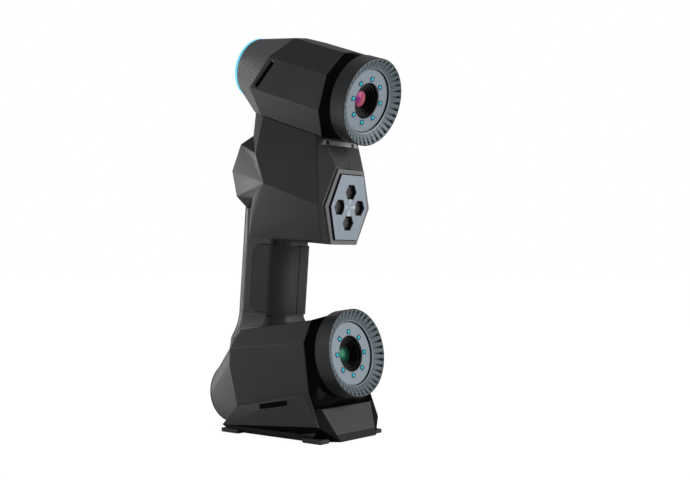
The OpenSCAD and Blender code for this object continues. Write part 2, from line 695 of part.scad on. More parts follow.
hump_slope = atan2(hump_rear - hump_top[0], hump_top[1] - hump_mid_t);
module on_hump() translate([0, (hump_rear + hump_top[0]) / 2, (hump_top[1] + hump_mid_t) / 2])
    rotate([hump_slope, 0, 0]) children();
skirt_t = 1.1;
flange_w = 0.45;
flange_t = 0.8;
skirt_depth = flange_t + key_travel + 0.6;
module plate_outline(w, h, r) {
    square([w - 2 * r, h], center = true);
    square([w, h - 2 * r], center = true);
    for (x = [-1, 1], y = [-1, 1]) translate([x * (w / 2 - r), y * (h / 2 - r)]) circle(r, $fn = 32);
}
module key_sheet(from, to, w, h, r) translate([0, from, 0]) rotate([-90, 0, 0])
    linear_extrude(to - from) plate_outline(w, h, r);
key_places = [[0, 0], [0, end_key_z], [0, -end_key_z], [-side_key_x, 0], [side_key_x, 0]];
function key_r(i) = i == 0 ? scan_key_r : small_key_r;
module at_key(i) translate([key_places[i][0], 0, key_places[i][1]]) rotate([-90, 0, 0]) children();
module keypad_window() on_hump() {
    key_sheet(-keypad_t, 12, keypad_w + 2 * fit_gap, keypad_h + 2 * fit_gap, 3);
    key_sheet(-12, 1, keypad_w - 1.6, keypad_h - 1.6, 2);
}
module keypad_plate() color(gloss_black) in_body() on_hump() difference() {
    union() {
        key_sheet(-keypad_t, 0, keypad_w, keypad_h, 3);
        key_sheet(-keypad_t - skirt_depth, -keypad_t + eps, keypad_w - 2.2, keypad_h - 2.2, 2);
    }
    key_sheet(-keypad_t - skirt_depth - 1, -keypad_t, keypad_w - 2.2 - 2 * skirt_t,
        keypad_h - 2.2 - 2 * skirt_t, 1);
    for (i = [0 : 4]) at_key(i) translate([0, 0, -keypad_t - 1])
        cylinder(r = key_r(i) + 0.15, h = keypad_t + 3, $fn = 48);
}
module keypad_board() color(board_green) in_body() on_hump()
    key_sheet(-keypad_t - skirt_depth - board_t, -keypad_t - skirt_depth,
        keypad_w - 2.2, keypad_h - 2.2, 2);
module key(i) color(i == 0 ? steel_blue : charcoal) in_body() on_hump() at_key(i) {
    translate([0, 0, -keypad_t - 0.2]) cylinder(r = key_r(i), h = keypad_t + 0.2 + key_proud, $fn = 48);
    translate([0, 0, -keypad_t - 0.2 - flange_t]) cylinder(r = key_r(i) + flange_w, h = flange_t, $fn = 48);
}

// Handle

module handle_outline(g = 0) {
    w = handle_half_w - g;
    f = handle_front + g;
    b = handle_back - g;
    rf = handle_front_r - g;
    rb = handle_back_r - g;
    for (x = [-1, 1]) {
        translate([x * (w - rf), f + rf]) circle(rf);
        translate([x * (w - rb), b - rb]) circle(rb);
    }
    translate([-(w - rf), f]) square([2 * (w - rf), rf]);
    translate([-w, f + rf]) square([2 * w, b - f - rf - rb]);
    translate([-(w - rb), b - rb]) square([2 * (w - rb), rb]);
}
module handle_bar(g = 0, low = 0, high = 0) translate([0, 0, low - handle_foot_t])
    linear_extrude(handle_foot_t - body_floor_t - low + high) handle_outline(g);
// Half outline of the neck from front to back. Its front part is narrower than the flush side.
function neck_side(half_w, narrow_half_w, front, back, rear_half_w) =
    let (step = half_w - narrow_half_w, front_r = handle_front_r - recess_depth) concat(
        arc([narrow_half_w - front_r, front + front_r], front_r, -90, 0),
        arc([narrow_half_w + 0.55 * step, recess_back - 0.55 * step], 0.55 * step, 180, 90, 4),
        arc([half_w - 0.25 * step, recess_back + 0.25 * step], 0.25 * step, -90, 0, 3),
        arc([rear_half_w - handle_back_r, back - handle_back_r], handle_back_r, 0, 90));
function all_round(side_pts) = concat(side_pts,
    [for (i = [len(side_pts) - 1 : -1 : 0]) [-side_pts[i][0], side_pts[i][1]]]);

// Flared foot of the handle, moulded in one with the lower housing. Its slices tilt from square
// to the handle until they are level with the roof of the lower head, and they widen as they go.
foot_steps = 6;
foot_drop = 10.7;
side_flare = 7.2;
neck_flare = 8;
front_flare = 5;
rear_flare = 4.5;
neck_inset = 0.4;
function foot_slice(t, grow, rear) = [for (p = all_round(neck_side(
    handle_half_w + side_flare * grow,
    handle_half_w - recess_depth + neck_flare * grow,
    handle_front + neck_inset - front_flare * grow,
    handle_back + rear_flare * rear,
    handle_half_w + 0.4 * side_flare * grow)))
    [p[0], p[1], -handle_foot_t - t * (foot_drop + (p[1] - handle_front) * tan(toe_in))]];
module handle_foot() rotate([toe_in, 0, 0]) translate([0, 0, half_baseline]) loft(concat(
    [for (i = [0 : foot_steps]) let (t = i / foot_steps, grow = pow(t, 2.2)) foot_slice(t, grow, grow)],
    [foot_slice(1.6, 0.45, 1.7)]));
module handle_passage() handle_bar(wall, -2, 20);

module handle_shell(side) color(charcoal) in_body() half(side) difference() {
    union() {
        difference() {
            handle_bar();
            handle_bar(wall + grip_t + 1, -2, 4);
        }
        intersection() {
            handle_bar(eps);
            for (p = handle_screws) along_x(p, -big / 4, big / 4, boss_r);
        }
    }
    grip_space(fit_gap);
    front_recess();
    screw_bores(handle_screws, side, handle_screw_seat);
}
// Room for a grip pad: a rounded sheet that wraps the side and the front corner
module grip_space(g) intersection() {
    difference() {
        handle_bar(-1);
        handle_bar(grip_t);
    }
    grip_outline(g);
}
grip_low_gap = 1.2;
module grip_outline(g = 0) {
    top = -body_floor_t - grip_top_gap + g;
    low = -handle_foot_t + grip_low_gap - g;
    back = grip_back + g;
    r = grip_corner_r;
    rotate([90, 0, 90]) linear_extrude(2 * big, center = true) {
        translate([0, low]) square([back - r, top - low]);
        translate([0, low + r]) square([back, top - low - 2 * r]);
        for (z = [low + r, top - r]) translate([back - r, z]) circle(r, $fn = 48);
    }
}
module grip(side) color(soft_black) in_body() intersection() {
    difference() {
        handle_bar();
        handle_bar(grip_t - fit_gap);
    }
    grip_outline();
    translate([side < 0 ? -big - 0.2 : 0.2, 0, -big]) cube([big, big, big]);
}
// Recess that narrows the handle's front between the grip pads and the body
module front_recess() translate([0, 0, -body_floor_t - grip_top_gap])
    linear_extrude(grip_top_gap + 1) difference() {
        translate([-big / 2, 0]) square([big, recess_back + 1]);
        polygon(all_round(neck_side(handle_half_w, handle_half_w - recess_depth,
            handle_front + neck_inset, handle_back, handle_half_w)));
    }

// Dock

dock_inner_w = head_half_w + dock_gap;
dock_half_w = dock_inner_w + panel_low_wall;
dock_pts = [
    [dock_inner_w + panel_wall, -8.3, rim_front_z],
    [dock_inner_w, -12.3, rim_front_z + 1],
    [29.2, -19.6, lip_z],
    [21, -31.4, base_z],
    [dock_half_w - 2, -21.9, 12.5],
    [dock_inner_w + panel_wall - 0.6, 60, rim_back_z],
    [dock_half_w, 73.5, 5.9],
    [34, 67, base_z],
    [34, -14, base_z]];
module dock_form() facet_form(dock_pts, [0, 20, 10]);
module dock_slab(low, high) translate([-big / 2, -big / 2, low]) cube([big, big, high - low]);
module side_region(side) translate([side < 0 ? -big - dock_inner_w : dock_inner_w, -big / 2, -1])
    cube([big, big, big]);
module feet_space(g = 0) for (x = [-1, 1], y = [foot_front_y, foot_back_y])
    translate([x * (dock_half_w - 1.4 - foot_w / 2), y + foot_l / 2, 0])
        translate([-foot_w / 2 - g, -foot_l / 2 - g, -1]) cube([foot_w + 2 * g, foot_l + 2 * g, foot_h + 1]);
foot_front_y = -25;
foot_back_y = 58;

module dock_panel(side) color(charcoal) in_world() difference() {
    intersection() {
        dock_form();
        side_region(side);
    }
    dock_slab(-1, base_z + base_t);
    feet_space(0.1);
    translate([0, slot_mid[0], slot_mid[1]]) rotate([-slot_slope, 0, 0])
        cube([big, slot_l, slot_h], center = true);
}
slot_mid = [20.8, 25.3];
slot_slope = 10.3;
slot_l = 28;
slot_h = 3.6;
module dock_front_panel() color(charcoal) in_world() difference() {
    intersection() {
        dock_form();
        translate([-dock_inner_w, -big / 2, base_z + base_t])
            cube([2 * dock_inner_w, big, lip_z - base_z - base_t]);
    }
    translate([0, front_wall, 0]) dock_form();
}
pad_x = 21;
pad_w = 8;
cradle_gap = 0.3;
pad_floor = -lower_floor_h - cradle_gap;
module at_lower_head() translate([0, centre_y, centre_height]) rotate([lean, 0, 0])
    translate([0, 0, -half_baseline]) rotate([-toe_in, 0, 0]) children();
module dock_base() color(soft_black) in_world() difference() {
    union() {
        intersection() {
            dock_form();
            dock_slab(base_z, base_z + base_t);
        }
        intersection() {
            at_lower_head() for (x = [-1, 1])
                translate([x * pad_x - pad_w / 2 - 1, pad_front - 1, pad_floor - pad_t - big])
                    cube([pad_w + 2, pad_length + 2, big]);
            dock_slab(base_z + base_t - eps, big);
        }
    }
    feet_space(0.1);
}
module cradle_pads() color(gloss_black) in_world() at_lower_head() for (x = [-1, 1])
    translate([x * pad_x - pad_w / 2, pad_front, pad_floor - pad_t]) cube([pad_w, pad_length, pad_t]);
module dock_feet() color(soft_black) in_world() intersection() {
    feet_space();
    dock_slab(0, big);
}
head_housing(upper);  // upper_head_housing
bezel(upper);  // upper_bezel
lens_ring(upper);  // upper_lens_ring
light_plate(upper);  // upper_light_plate
light_windows(upper);  // upper_light_windows
light_board(upper);  // upper_light_board
lens_barrel(upper);  // upper_lens_barrel
front_lens(upper);  // upper_front_lens
camera_module(upper);  // upper_camera_module
rear_cover(upper);  // upper_rear_cover
status_light_ring();
upper_end_cap();
bracket_plate();
bracket_screws();
body_shell(-1);  // body_left_shell
body_shell(1);  // body_right_shell
laser_frame();
laser_plate();
laser_windows();
laser_modules();
laser_holder();
main_board();
chassis_spine();
wiring_loom();
keypad_plate();
keypad_board();
key(0);  // scan_key
key(1);  // up_key
key(2);  // down_key
key(3);  // left_key
key(4);  // right_key
handle_shell(-1);  // handle_left_shell
handle_shell(1);  // handle_right_shell
grip(-1);  // grip_left
grip(1);  // grip_right
housing_screws();
head_housing(lower);  // lower_head_housing
bezel(lower);  // lower_bezel
lens_ring(lower);  // lower_lens_ring
light_plate(lower);  // lower_light_plate
light_windows(lower);  // lower_light_windows
light_board(lower);  // lower_light_board
lens_barrel(lower);  // lower_lens_barrel
front_lens(lower);  // lower_front_lens
camera_module(lower);  // lower_camera_module
rear_cover(lower);  // lower_rear_cover
lower_end_cap();
cable_socket();
dock_base();
dock_panel(-1);  // dock_left_panel
dock_panel(1);  // dock_right_panel
dock_front_panel();
cradle_pads();
dock_feet();
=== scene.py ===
import json
import math

import bmesh
import bpy
from mathutils import Matrix, Vector


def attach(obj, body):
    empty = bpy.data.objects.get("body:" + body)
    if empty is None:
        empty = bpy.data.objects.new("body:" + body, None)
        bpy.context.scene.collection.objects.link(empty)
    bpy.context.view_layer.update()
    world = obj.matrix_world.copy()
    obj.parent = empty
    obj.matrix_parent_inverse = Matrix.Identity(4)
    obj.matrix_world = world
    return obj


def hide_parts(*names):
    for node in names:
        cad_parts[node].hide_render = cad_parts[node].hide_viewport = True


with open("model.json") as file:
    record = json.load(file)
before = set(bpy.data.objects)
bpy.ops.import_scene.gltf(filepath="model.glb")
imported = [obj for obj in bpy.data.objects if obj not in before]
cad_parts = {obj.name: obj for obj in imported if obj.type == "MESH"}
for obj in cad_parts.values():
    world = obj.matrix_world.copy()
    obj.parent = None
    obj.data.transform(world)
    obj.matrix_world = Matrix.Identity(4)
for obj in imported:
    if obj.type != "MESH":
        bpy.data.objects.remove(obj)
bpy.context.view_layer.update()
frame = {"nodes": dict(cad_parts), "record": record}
print("frame loaded:", len(frame["nodes"]), "nodes")

mm = 0.001


def turnX(degrees):
    return Matrix.Rotation(math.radians(degrees), 4, "X")


def moved(x, y, z):
    return Matrix.Translation((x * mm, y * mm, z * mm))


# Where the CAD's own frames are: the body leans, and each head turns in towards the scanned surface
stance = {"middleY": -63.0395, "middleZ": 157.286, "lean": 4.6, "halfBaseline": 93, "toeIn": 12.9,
          "panelBack": 17.9, "panelUp": 14.4, "panelTilt": 3, "humpBack": 113.3, "humpUp": 47.95,
          "humpSlope": 20.11}
inBody = moved(0, stance["middleY"], stance["middleZ"]) @ turnX(stance["lean"])
inHead = {side: inBody @ moved(0, 0, s * stance["halfBaseline"]) @ turnX(s * stance["toeIn"])
          for side, s in (("upper", 1), ("lower", -1))}
onAxis = {side: inHead[side] @ turnX(-90) for side in inHead}   # local Z runs back along the lens axis
inPanel = inBody @ moved(0, stance["panelBack"], stance["panelUp"]) @ turnX(stance["panelTilt"])
onHump = inBody @ moved(0, stance["humpBack"], stance["humpUp"]) @ turnX(stance["humpSlope"])


# Node groups, each built once and placed in the materials with their own values

def makeGroup(name, inputs, outputs):
    group = bpy.data.node_groups.new(name, "ShaderNodeTree")
    for label, kind, value in inputs:
        socket = group.interface.new_socket(label, in_out="INPUT", socket_type="NodeSocket" + kind)
        socket.default_value = value
    for label, kind in outputs:
        group.interface.new_socket(label, in_out="OUTPUT", socket_type="NodeSocket" + kind)
    return group, group.nodes.new("NodeGroupInput"), group.nodes.new("NodeGroupOutput")


def addNode(tree, kind, links=(), **values):
    node = tree.nodes.new("ShaderNode" + kind)
    for key, value in values.items():
        setattr(node, key, value)
    for socket, source in links:
        if isinstance(source, bpy.types.NodeSocket):
            tree.links.new(source, node.inputs[socket])
        else:
            node.inputs[socket].default_value = source
    return node


def addMath(tree, operation, first, second=0.0):
    return addNode(tree, "Math", [(0, first), (1, second)], operation=operation).outputs[0]


def objectPoints(tree):
    return addNode(tree, "TexCoord").outputs["Object"]


def driftedTint(tree, amount, tint, drift):
    # The tint, lighter or darker by a share that follows amount
    level = addMath(tree, "ADD", addMath(tree, "MULTIPLY", amount, drift), 1.0)
    return addNode(tree, "VectorMath", [(0, tint), ("Scale", level)], operation="SCALE").outputs[0]


def driftTogether(group, given, result, amount, low, high):
    # Tint and gloss drift together as amount runs from low to high
    lift = addNode(group, "MapRange", [("Value", amount), ("From Min", low), ("From Max", high),
                                       ("To Min", -0.5), ("To Max", 0.5)]).outputs["Result"]
    sheen = addMath(group, "MULTIPLY", lift, given.outputs["Spread"])
    group.links.new(driftedTint(group, lift, given.outputs["Tint"], given.outputs["Drift"]),
                    result.inputs["Colour"])
    group.links.new(addMath(group, "ADD", sheen, given.outputs["Roughness"]), result.inputs["Roughness"])


def makeGrainGroup():
    # Fine moulded grain: a tint that drifts a little, a drifting gloss and a pebbled height
    group, given, result = makeGroup(
        "mouldedGrain",
        [("Tint", "Color", (0.04, 0.04, 0.045, 1)), ("Drift", "Float", 0.12), ("Grain", "Float", 2600),
         ("Roughness", "Float", 0.5), ("Spread", "Float", 0.08)],
        [("Colour", "Color"), ("Roughness", "Float"), ("Height", "Float")])
    points = objectPoints(group)
    grain = given.outputs["Grain"]
    broad = addNode(group, "TexNoise", [("Vector", points), ("Scale", 38), ("Detail", 3)])
    fine = addNode(group, "TexNoise", [("Vector", points), ("Scale", grain), ("Detail", 2)])
    pebble = addNode(group, "TexVoronoi", [("Vector", points), ("Scale", grain)], feature="SMOOTH_F1")
    driftTogether(group, given, result, broad.outputs["Fac"], 0.3, 0.7)
    group.links.new(addMath(group, "ADD", fine.outputs["Fac"], pebble.outputs["Distance"]),
                    result.inputs["Height"])
    return group


def makeBrushGroup():
    # Very fine machining marks that run along one direction of the object's own points
    group, given, result = makeGroup(
        "machiningMarks",
        [("Tint", "Color", (0.3, 0.33, 0.36, 1)), ("Stretch", "Vector", (900, 60, 900)),
         ("Drift", "Float", 0.1), ("Roughness", "Float", 0.35), ("Spread", "Float", 0.12)],
        [("Colour", "Color"), ("Roughness", "Float"), ("Height", "Float")])
    stretched = addNode(group, "VectorMath", [(0, objectPoints(group)), (1, given.outputs["Stretch"])],
                        operation="MULTIPLY").outputs[0]
    marks = addNode(group, "TexNoise", [("Vector", stretched), ("Scale", 1), ("Detail", 4)]).outputs["Fac"]
    driftTogether(group, given, result, marks, 0.25, 0.75)
    group.links.new(marks, result.inputs["Height"])
    return group


grainGroup = makeGrainGroup()
brushGroup = makeBrushGroup()
bumpDepth = {"grain": 0.00002, "ribs": 0.0003}


def groupedMaterial(name, group, settings, plain, relief):
    # A Principled material whose colour, gloss and relief come from one of the groups above
    material = bpy.data.materials.new(name)
    material.use_nodes = True
    tree = material.node_tree
    shader = tree.nodes["Principled BSDF"]
    for socket, value in plain:
        shader.inputs[socket].default_value = value
    effect = tree.nodes.new("ShaderNodeGroup")
    effect.node_tree = group
    for key, value in settings.items():
        effect.inputs[key].default_value = value
    bump = addNode(tree, "Bump", [("Strength", relief), ("Distance", bumpDepth["grain"]),
                                  ("Height", effect.outputs["Height"])])
    tree.links.new(effect.outputs["Colour"], shader.inputs["Base Color"])
    tree.links.new(effect.outputs["Roughness"], shader.inputs["Roughness"])
    tree.links.new(bump.outputs["Normal"], shader.inputs["Normal"])
    return material


grainLook = {"drift": 0.1, "spread": 0.08, "coatRoughness": 0.08}
brushLook = {"drift": 0.12, "spread": 0.1, "relief": 0.1}


def plastic(name, tint, roughness, grain=2600, relief=0.25, specular=0.4, coat=0.0):
    return groupedMaterial(
        name, grainGroup,
        {"Tint": (*tint, 1), "Drift": grainLook["drift"], "Grain": grain, "Roughness": roughness,
         "Spread": grainLook["spread"]},
        [("Specular IOR Level", specular), ("Coat Weight", coat),
         ("Coat Roughness", grainLook["coatRoughness"])], relief)


def metal(name, tint, roughness, metallic=1.0, stretch=(900, 60, 900)):
    return groupedMaterial(
        name, brushGroup,
        {"Tint": (*tint, 1), "Stretch": stretch, "Drift": brushLook["drift"], "Roughness": roughness,
         "Spread": brushLook["spread"]},
        [("Metallic", metallic)], brushLook["relief"])


def ribbedCover(name, tint, roughness, ribs, relief):
    # Moulded grain with fine ribs that run along the axis of the upper head
    material = plastic(name, tint, roughness)
    tree = material.node_tree
    back = inHead["upper"].inverted()
    placed = addNode(tree, "Mapping", [("Vector", objectPoints(tree)), ("Location", back.translation),
                                       ("Rotation", back.to_euler())])
    axes = addNode(tree, "SeparateXYZ", [(0, placed.outputs[0])])
    angle = addMath(tree, "ARCTAN2", axes.outputs["X"], axes.outputs["Z"])
    wave = addMath(tree, "SINE", addMath(tree, "MULTIPLY", angle, float(ribs)))
    inner = tree.nodes["Bump"]
    outer = addNode(tree, "Bump", [("Strength", relief), ("Distance", bumpDepth["ribs"]), ("Height", wave),
                                   ("Normal", inner.outputs["Normal"])])
    tree.links.new(outer.outputs["Normal"], tree.nodes["Principled BSDF"].inputs["Normal"])
    return material


coating = {"Roughness": 0.22, "Metallic": 0.1, "Specular IOR Level": 0.15}


def coatingWithPaintedSheen(name, centre, near, far, reach):
    # Lens coating with a painted reflection: one colour round a centre that runs to another at reach, under
    # a clear gloss
    material = bpy.data.materials.new(name)
    material.use_nodes = True
    tree = material.node_tree
    shader = tree.nodes["Principled BSDF"]
    offset = addNode(tree, "VectorMath", [(0, objectPoints(tree)), (1, centre)], operation="DISTANCE")
    blend = addNode(tree, "MapRange", [("Value", offset.outputs["Value"]), ("From Min", 0.0),
                                       ("From Max", reach * mm)], interpolation_type="SMOOTHSTEP")
    ramp = addNode(tree, "ValToRGB", [("Fac", blend.outputs["Result"])])
    ramp.color_ramp.elements[0].color = (*near, 1)
    ramp.color_ramp.elements[1].color = (*far, 1)
    tree.links.new(ramp.outputs["Color"], shader.inputs["Base Color"])
    for socket, value in coating.items():
        shader.inputs[socket].default_value = value
    return material


def litPlastic(name, tint, glow, strength):
    # Coloured plastic that glows evenly, as if a lamp lay behind it
    material = plastic(name, tint, 0.25, relief=0.05)
    shader = material.node_tree.nodes["Principled BSDF"]
    shader.inputs["Emission Color"].default_value = (*glow, 1)
    shader.inputs["Emission Strength"].default_value = strength
    return material


# The painted reflection on each lens starts at the lens's edge on the camera's left
sheenStart = {"aside": -4.6, "back": 11.9}
sheenCentre = {side: onAxis[side] @ Vector((sheenStart["aside"] * mm, 0, sheenStart["back"] * mm))
            for side in onAxis}
finishes = {
    "housing": plastic("charcoalShell", (0.034, 0.034, 0.036), 0.42, specular=0.35),
    "dock": plastic("dockShell", (0.040, 0.039, 0.041), 0.46, specular=0.3),
    # Near black: painted shade on the dock's undersides, slanted corner strips and slot fillers
    "dockShade": plastic("dockShade", (0.0028, 0.0028, 0.0032), 0.4, specular=0.03),
    "dockBase": plastic("dockFloor", (0.014, 0.014, 0.015), 0.6, specular=0.2),
    "bezel": plastic("glossBezel", (0.0025, 0.0024, 0.0032), 0.24, grain=900, relief=0.02, specular=0.04),
    "ringBand": metal("ringBand", (0.035, 0.035, 0.037), 0.36, metallic=0.2),
    "pleat": metal("pleatSteel", (0.115, 0.145, 0.162), 0.46, metallic=0.1, stretch=(500, 500, 500)),
    "pleatShade": metal("pleatShade", (0.003, 0.010, 0.014), 0.5, metallic=0.1),
    # Paler than the pleats: a painted highlight on the smooth throat and lip
    "ringRim": metal("rimHighlight", (0.22, 0.26, 0.28), 0.45, metallic=0.2),
    "plate": metal("lightPlate", (0.205, 0.243, 0.278), 0.45, metallic=0.2),
    "lampSurround": plastic("lampSurround", (0.006, 0.02, 0.03), 0.4),
    "rearCover": ribbedCover("ribbedCover", (0.115, 0.115, 0.117), 0.5, 150, 0.35),
    "rearCoverPlain": plastic("plainCover", (0.140, 0.140, 0.142), 0.5),
    # Far paler than the other metals: painted light on a strip that lies in the lens ring's shadow
    "bracket": metal("bracketStrip", (0.30, 0.30, 0.305), 0.42, metallic=0.2),
    "laserFrame": metal("laserFrame", (0.125, 0.125, 0.128), 0.45, metallic=0.2),
    "laserPlate": metal("laserPlate", (0.235, 0.275, 0.32), 0.45, metallic=0.2),
    # Near black: painted shade on the laser plate's hole walls and chamfers and on the frame's inner walls
    "laserWallShade": plastic("laserWallShade", (0.004, 0.005, 0.007), 0.4, specular=0.2),
    # Paler than the plate: a painted highlight on the flutes
    "fluteHighlight": metal("fluteHighlight", (0.36, 0.43, 0.45), 0.5, metallic=0.1),
    "barrel": plastic("barrelBlack", (0.002, 0.0015, 0.002), 0.2, relief=0.03, specular=0.2),
    "keypad": plastic("keypadGloss", (0.012, 0.012, 0.013), 0.2, relief=0.05, coat=0.4),
    "key": plastic("keyRubber", (0.10, 0.105, 0.11), 0.6),
    "scanKey": plastic("scanKeyRubber", (0.2, 0.26, 0.3), 0.55),
    "keyMark": plastic("keyMark", (0.35, 0.37, 0.38), 0.5),
    "grip": plastic("gripRubber", (0.026, 0.026, 0.028), 0.6, grain=1500, relief=0.5, specular=0.25),
    "screw": metal("blackScrew", (0.05, 0.05, 0.052), 0.35, metallic=0.9),
    "socket": metal("socketMetal", (0.2, 0.2, 0.21), 0.35),
    "pad": plastic("cradleRubber", (0.012, 0.012, 0.012), 0.7),
    "foot": plastic("footRubber", (0.03, 0.03, 0.031), 0.65),
    "board": plastic("solderResist", (0.02, 0.12, 0.07), 0.4),
    "brass": metal("brass", (0.5, 0.36, 0.16), 0.3),
    "cast": metal("castChassis", (0.5, 0.51, 0.53), 0.5),
    "laserGlass": plastic("laserGlass", (0.04, 0.036, 0.034), 0.12, relief=0.02, specular=0.5),
    "laserEye": plastic("laserEye", (0.02, 0.018, 0.02), 0.1, relief=0.02, specular=0.7),
    "lamp": litPlastic("lampWindow", (0.01, 0.25, 0.34), (0.0, 0.42, 0.55), 0.75),
    "statusLight": litPlastic("statusLight", (0.05, 0.2, 0.24), (0.13, 0.62, 0.82), 1.0),
    # Deep magenta coating that runs to a pale salmon crescent, a painted highlight
    "lensUpper": coatingWithPaintedSheen("magentaCoatingSheen", sheenCentre["upper"], (0.19, 0.005, 0.14),
                             (0.56, 0.13, 0.16), 11),
    # Green coating that runs to near black on the right, a painted reflection
    "lensLower": coatingWithPaintedSheen("greenCoatingSheen", sheenCentre["lower"], (0.0, 0.18, 0.09),
                             (0.0, 0.035, 0.02), 7),
}

nodeFinish = {
    "housing": ["upper_head_housing", "lower_head_housing", "body_left_shell", "body_right_shell",
                "handle_left_shell", "handle_right_shell", "upper_end_cap", "lower_end_cap"],
    "bezel": ["upper_bezel", "lower_bezel"],
    "ringBand": ["upper_lens_ring", "lower_lens_ring"],
    "plate": ["upper_light_plate", "lower_light_plate"],
    "rearCover": ["upper_rear_cover"],
    "rearCoverPlain": ["lower_rear_cover"],
    "bracket": ["bracket_plate"],
    "laserFrame": ["laser_frame"],
    "laserPlate": ["laser_plate"],
    "barrel": ["upper_lens_barrel", "lower_lens_barrel", "wiring_loom", "upper_camera_module",
               "lower_camera_module"],
    "keypad": ["keypad_plate"],
    "key": ["up_key", "down_key", "left_key", "right_key"],
    "scanKey": ["scan_key"],
    "grip": ["grip_left", "grip_right"],
    "screw": ["bracket_screws", "housing_screws"],
    "socket": ["cable_socket"],
    "pad": ["cradle_pads"],
    "foot": ["dock_feet"],
    "board": ["upper_light_board", "lower_light_board", "main_board", "keypad_board"],
    "brass": ["laser_modules"],
    "cast": ["laser_holder", "chassis_spine"],
    "laserGlass": ["laser_windows"],
    "lamp": ["upper_light_windows", "lower_light_windows"],
    "statusLight": ["status_light_ring"],
    "lensUpper": ["upper_front_lens"],
    "lensLower": ["lower_front_lens"],
    "dock": ["dock_left_panel", "dock_right_panel", "dock_front_panel"],
    "dockBase": ["dock_base"],
}
finishOf = {node: finish for finish, nodes in nodeFinish.items() for node in nodes}
for node, finish in finishOf.items():
    mesh = frame["nodes"][node].data
    mesh.materials.clear()
    mesh.materials.append(finishes[finish])
bodyOf = {node: body for body, nodes in frame["record"]["behaviour"]["bodies"].items() for node in nodes}
print("materials:", len(finishes))


# Turns a finished bmesh into a piece that rides where its CAD nodes ride and stands for them

def addPiece(name, bm, finishNames, nodes, body=None, smoothAngle=30, weighted=False):
    mesh = bpy.data.meshes.new(name)
    bm.to_mesh(mesh)
    bm.free()
    for finish in finishNames:
        mesh.materials.append(finishes[finish])
    mesh.shade_smooth()
    mesh.set_sharp_from_angle(angle=math.radians(smoothAngle))
    piece = bpy.data.objects.new(name, mesh)
    bpy.context.scene.collection.objects.link(piece)
    if weighted:
        normals = piece.modifiers.new("evenFaces", "WEIGHTED_NORMAL")
        normals.keep_sharp = True
        triangles = piece.modifiers.new("triangles", "TRIANGULATE")
        triangles.min_vertices = 5
        triangles.keep_custom_normals = True
    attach(piece, body or bodyOf[nodes[0]])
    if nodes:
        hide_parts(*nodes)


weld = 2e-6
spinSteps = {"band": 128, "lens": 64, "small": 40}


def closeUp(bm, place):
    # Joins the seams, puts the mesh in its place and turns every face outwards
    bmesh.ops.remove_doubles(bm, verts=bm.verts, dist=weld)
    bmesh.ops.transform(bm, matrix=place, verts=bm.verts)
    bmesh.ops.recalc_face_normals(bm, faces=bm.faces)


def repeatAround(bm, count):
    # Copies all there is, evenly turned about local Z
    first = bm.verts[:] + bm.edges[:] + bm.faces[:]
    for step in range(1, count):
        more = bmesh.ops.duplicate(bm, geom=first)["geom"]
        turn = Matrix.Rotation(2 * math.pi * step / count, 3, "Z")
        bmesh.ops.rotate(bm, verts=[item for item in more if isinstance(item, bmesh.types.BMVert)],
                         cent=(0, 0, 0), matrix=turn)


def spun(profile, steps):
    # Turns a closed half section, given as radius and distance back, round the lens axis
    bm = bmesh.new()
    verts = [bm.verts.new((radius * mm, 0, back * mm)) for radius, back in profile]
    edges = [bm.edges.new(pair) for pair in zip(verts, verts[1:] + verts[:1])]
    bmesh.ops.spin(bm, geom=verts + edges, cent=(0, 0, 0), axis=(0, 0, 1), dvec=(0, 0, 0),
                   angle=2 * math.pi, steps=steps, use_merge=True, use_duplicate=False)
    return bm


def insetBlock(size, axis, corner, border, step, depth):
    # A block rounded along one axis, with a border and a step on its low end
    bm = bmesh.new()
    block = bmesh.ops.create_cube(bm, size=1)["verts"]
    bmesh.ops.scale(bm, vec=[length * mm for length in size], verts=block)
    along = [edge for edge in bm.edges if abs(edge.verts[0].co[axis] - edge.verts[1].co[axis]) > weld]
    bmesh.ops.bevel(bm, geom=along, offset=corner * mm, segments=4, profile=0.5, affect="EDGES",
                    material=-1)
    end = min(bm.faces, key=lambda face: face.calc_center_median()[axis])
    bmesh.ops.inset_region(bm, faces=[end], thickness=border * mm, depth=0)
    bmesh.ops.inset_region(bm, faces=[end], thickness=step * mm, depth=depth * mm)
    return bm, end


# Shells: merged copies of the CAD shells with their outer creases softened

shellTrim = {"flat": 0.6, "shortest": 3.0, "rimEdge": 1.0}
# Angles over which a crease is softened and over which shading breaks
surfaceKinds = {"faceted": {"crease": 12, "smooth": 12}, "round": {"crease": 12, "smooth": 30},
                "loft": {"crease": 40, "smooth": 40}}
dressed = {
    "upperHeadShell": ("upper_head_housing", 0.6, "faceted"),
    "lowerHeadShell": ("lower_head_housing", 0.6, "faceted"),
    "bodyShellLeft": ("body_left_shell", 0.6, "faceted"),
    "bodyShellRight": ("body_right_shell", 0.6, "faceted"),
    "handleShellLeft": ("handle_left_shell", 0.3, "round"),
    "handleShellRight": ("handle_right_shell", 0.3, "round"),
    "gripPadLeft": ("grip_left", 0.5, "round"),
    "gripPadRight": ("grip_right", 0.5, "round"),
    "upperCover": ("upper_rear_cover", 0.4, "loft"),
    "lowerCover": ("lower_rear_cover", 0.4, "loft"),
    "laserBezel": ("laser_frame", 0.5, "faceted"),
    "laserFace": ("laser_plate", 0.4, "faceted"),
    "bracketStrip": ("bracket_plate", 0.3, "faceted"),
    "dockSideLeft": ("dock_left_panel", 0.2, "faceted"),
    "dockSideRight": ("dock_right_panel", 0.2, "faceted"),
    "dockFront": ("dock_front_panel", 0.3, "faceted"),
    "dockFloor": ("dock_base", 0.2, "faceted"),
    "dockFoot": ("dock_feet", 0.5, "faceted"),
    "upperCollar": ("upper_bezel", 0.4, "round"),
    "lowerCollar": ("lower_bezel", 0.4, "round"),
}


